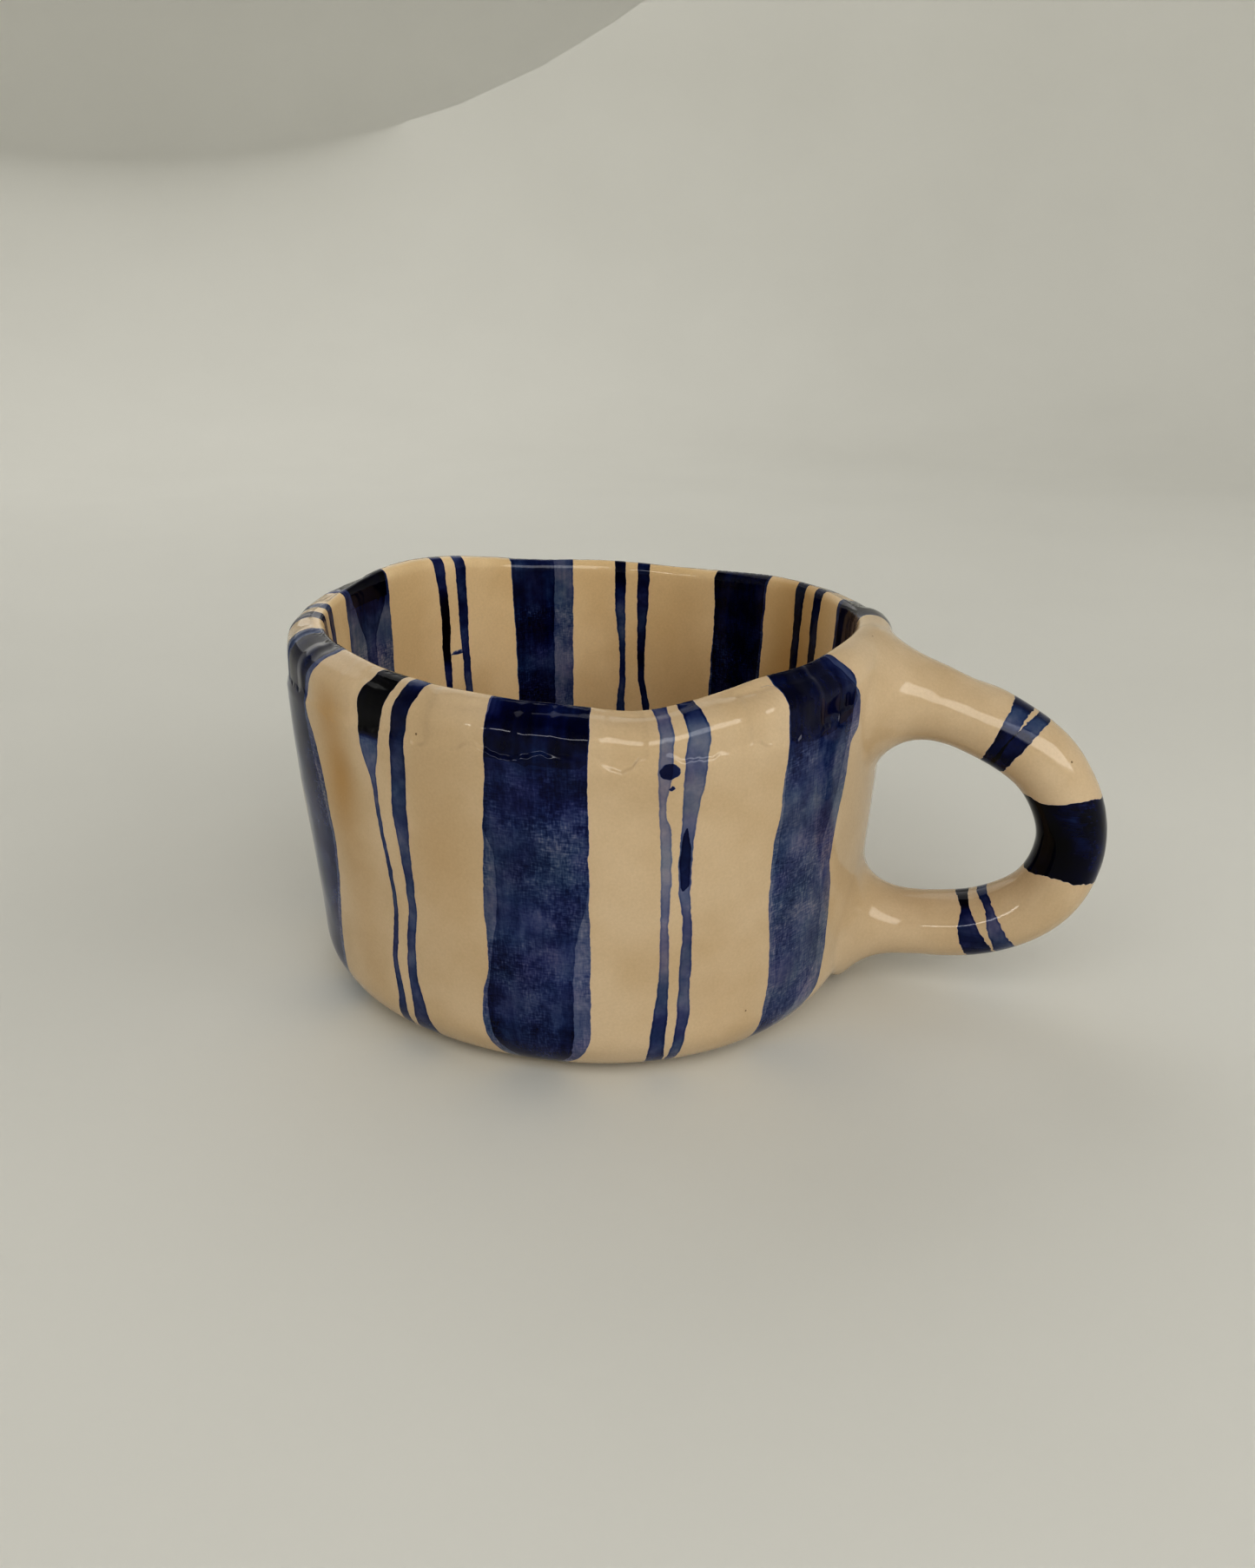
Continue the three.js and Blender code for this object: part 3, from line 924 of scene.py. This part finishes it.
def clay_colour(nodes, place):
    """Warm buff clay under the glaze, with soft clouds, a fine grain, brown stains and a few iron specks;
    inside, painted light makes the clay lighter, and painted shade makes the shaded inside wall brown.
    """
    clouds = nodes.fit(nodes.noise(place, 0.06, 3), 0.32, 0.68)
    colour = nodes.mix(clouds, CLAY_DARK, CLAY_LIGHT)
    # Painted light: the inside is made lighter and warmer
    inner = nodes.stored("spots")[2]
    colour = nodes.mix(inner, colour, nodes.mix(1.0, colour, CLAY_INSIDE_PAINTED_LIGHT, "MULTIPLY"))
    grain = nodes.fit(nodes.noise(place, 2.4, 2, 0.7), 0.3, 0.7, 0.965, 1.035, smooth=False)
    colour = nodes.mix(1.0, colour, nodes.vector(grain, grain, grain), "MULTIPLY")
    # Brown stains outside, and painted shade on the shaded inside wall
    stain_and_shade = nodes.maths("MULTIPLY", nodes.stored("spots")[1], STAIN_AND_SHADE_STRENGTH, clamp=True)
    colour = nodes.mix(stain_and_shade, colour, CLAY_STAIN_AND_SHADE)
    cells = nodes.add("TexVoronoi", {"Vector": place, "Scale": 0.16})
    size = nodes.fit(nodes.parts(cells.outputs["Color"])[0], 0.62, 1.0, 0.0, 0.045, smooth=False)
    speck = nodes.maths("LESS_THAN", cells.outputs["Distance"], size)
    return nodes.mix(nodes.times(speck, 0.7), colour, SPECK)


def thumb_edge(nodes, turned, height):
    """How far the glaze drops over the sharp, broken edge that the thumb leaves under the rim."""
    wander = nodes.fit(nodes.noise(nodes.vector(turned, 3.0, 0.0), 0.12, 3), 0.3, 0.7, -1.3, 1.3)
    above = nodes.maths("SUBTRACT", height, nodes.plus(wander, RIM_LEDGE["height"]))
    strength = nodes.fit(nodes.noise(nodes.vector(turned, 8.0, 0.0), 0.22, 1), 0.36, 0.6, 0.1, 0.3)
    outside = nodes.fit(nodes.stored("spots")[2], 0.5, 0.0)
    beside_handle = nodes.fit(nodes.maths("ABSOLUTE", turned), 14, 20)
    drop = nodes.times(nodes.fit(above, -0.45, 0.45), strength)
    return nodes.times(drop, nodes.times(outside, beside_handle))


def glaze_height(nodes, place, cover):
    """Height of the glaze in millimetres: slow waves, a faint orange peel, and the colour's body."""
    waves = nodes.times(nodes.noise(place, 0.17, 1), 0.055)
    peel = nodes.times(nodes.noise(place, 0.75, 1), 0.006)
    return nodes.plus(nodes.plus(waves, peel), nodes.times(cover, 0.004))


def make_glaze(name, roughness):
    material = bpy.data.materials.new(name)
    material.use_nodes = True
    nodes = Nodes(material.node_tree)
    place, turned, height, radius = place_in_mm(nodes)
    depth, cover = paint(nodes, place, turned, height)
    colour = seen_through(nodes, clay_colour(nodes, place), depth, place)
    level = glaze_height(nodes, place, cover)
    level = nodes.maths("SUBTRACT", level, thumb_edge(nodes, turned, height))
    bare = nodes.times(nodes.fit(height, 0.75, 0.35), nodes.fit(radius, 45, 44))
    grit = nodes.noise(place, 1.9, 4, 0.75)
    bare_colour = nodes.mix(nodes.fit(grit, 0.3, 0.7), CLAY_BARE, CLAY_DARK)
    level = nodes.plus(level, nodes.times(nodes.times(grit, 0.09), bare))
    sheen = nodes.fit(nodes.noise(place, 0.2, 2), 0.3, 0.7, roughness, roughness + 0.03)
    bump = nodes.add("Bump", {"Height": level, "Distance": MM, "Strength": 1.0})
    shader = nodes.add("BsdfPrincipled", {
        "Base Color": nodes.mix(bare, colour, bare_colour),
        "Roughness": nodes.plus(sheen, nodes.times(bare, 0.65)),
        "IOR": 1.5,
        "Specular IOR Level": 0.24,
        "Normal": bump.outputs[0],
    })
    nodes.add("OutputMaterial", {"Surface": shader.outputs[0]})
    return material


# ---------------------------------------------------------------- pieces

SLOTS = {
    "floor_slab": "floor_glaze",
    "wall": "body_glaze",
    "upper_handle_pad": "body_glaze",
    "handle_coil": "handle_glaze",
    "lower_handle_pad": "body_glaze",
}


def make_pieces():
    skin = make_skin()
    smooth_normals = SkinNormals(skin.data)
    glazes = {
        "body_glaze": make_glaze("body_glaze", 0.06),
        "handle_glaze": make_glaze("handle_glaze", 0.05),
        "floor_glaze": make_glaze("floor_glaze", 0.07),
    }
    for node, piece in cut_skin(skin).items():
        piece.name = node + "_clay"
        put_colour(piece.data, smooth_normals.give_to(piece.data))
        piece.data.materials.clear()
        piece.data.materials.append(glazes[SLOTS[node]])
        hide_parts(node)
        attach(piece, "root")


# ---------------------------------------------------------------- floor, light and camera

FLOOR_RADIUS = 0.62
SWEEP_RADIUS = 0.25
SWEEP_TOP = 1.4
SWEEP_SEGMENTS = 96


def sweep_profile():
    profile = [(radius * FLOOR_RADIUS / 8, 0.0) for radius in range(9)]
    for step in range(1, 13):
        turn = step / 12 * math.pi / 2
        profile.append((
            FLOOR_RADIUS + SWEEP_RADIUS * math.sin(turn),
            SWEEP_RADIUS * (1 - math.cos(turn)),
        ))
    profile.append((FLOOR_RADIUS + SWEEP_RADIUS, SWEEP_TOP))
    return profile


def make_floor():
    """A plain pale floor that curves up all round."""
    mesh = bpy.data.meshes.new("floor")
    bm = bmesh.new()
    verts = [bm.verts.new((radius, 0, height)) for radius, height in sweep_profile()]
    edges = [bm.edges.new(pair) for pair in zip(verts, verts[1:])]
    bmesh.ops.spin(
        bm, geom=verts + edges, cent=(0, 0, 0), axis=(0, 0, 1), angle=2 * math.pi,
        steps=SWEEP_SEGMENTS, use_merge=True,
    )
    bmesh.ops.remove_doubles(bm, verts=bm.verts, dist=1e-6)
    bmesh.ops.recalc_face_normals(bm, faces=bm.faces)
    for face in bm.faces:
        face.smooth = True
    bm.to_mesh(mesh)
    bm.free()
    floor = new_object("floor", mesh)
    floor.location.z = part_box("floor_slab")[0].z
    material = bpy.data.materials.new("floor_cloth")
    material.use_nodes = True
    nodes = Nodes(material.node_tree)
    place = nodes.add("TexCoord").outputs["Object"]
    tone = nodes.mix(nodes.noise(place, 9, 3), *FLOOR_TONES)
    shader = nodes.add("BsdfPrincipled", {"Base Color": tone, "Roughness": 0.85})
    nodes.add("OutputMaterial", {"Surface": shader.outputs[0]})
    mesh.materials.append(material)


def aimed(obj, place, target):
    obj.location = place
    direction = Vector(target) - Vector(place)
    obj.rotation_euler = direction.to_track_quat("-Z", "Y").to_euler()


def around(azimuth, elevation, distance):
    """A place seen from the mug in a direction: azimuth from +X towards +Y."""
    a, e = math.radians(azimuth), math.radians(elevation)
    return (
        distance * math.cos(e) * math.cos(a),
        distance * math.cos(e) * math.sin(a),
        distance * math.sin(e),
    )


def area_light(name, light_row, distance=LIGHT_DISTANCE):
    azimuth, elevation, size, power = light_row
    light = bpy.data.lights.new(name, "AREA")
    light.shape = "RECTANGLE"
    light.size, light.size_y = size
    light.energy = power
    light.color = LIGHT_COLOUR
    obj = bpy.data.objects.new(name, light)
    bpy.context.scene.collection.objects.link(obj)
    aimed(obj, around(azimuth, elevation, distance), (0, 0, 0.03))
    obj.visible_camera = False
    return obj


def make_lights():
    for name, row in LIGHTS.items():
        area_light(name, row)
    for row in GLINTS:
        area_light("glint", row, GLINT_DISTANCE).visible_diffuse = False
    for row in FILLS:
        area_light("fill", row).visible_glossy = False
    world = bpy.data.worlds.new("studio")
    world.use_nodes = True
    nodes = Nodes(world.node_tree)
    background = nodes.add("Background", {"Color": WORLD_COLOUR, "Strength": WORLD_STRENGTH})
    nodes.add("OutputWorld", {"Surface": background.outputs[0]})
    bpy.context.scene.world = world


def make_camera():
    camera = bpy.data.cameras.new("camera")
    camera.lens = CAMERA_LENS
    camera.sensor_width = 36
    camera.clip_start = 0.01
    obj = bpy.data.objects.new("camera", camera)
    obj.location = CAMERA_PLACE
    obj.rotation_euler = (math.pi / 2 - CAMERA_PITCH, 0, CAMERA_TURN)
    bpy.context.scene.collection.objects.link(obj)
    bpy.context.scene.camera = obj


bpy.context.scene.view_settings.view_transform = "Standard"
bpy.context.scene.view_settings.look = "High Contrast"
make_camera()
make_floor()
make_lights()
make_pieces()
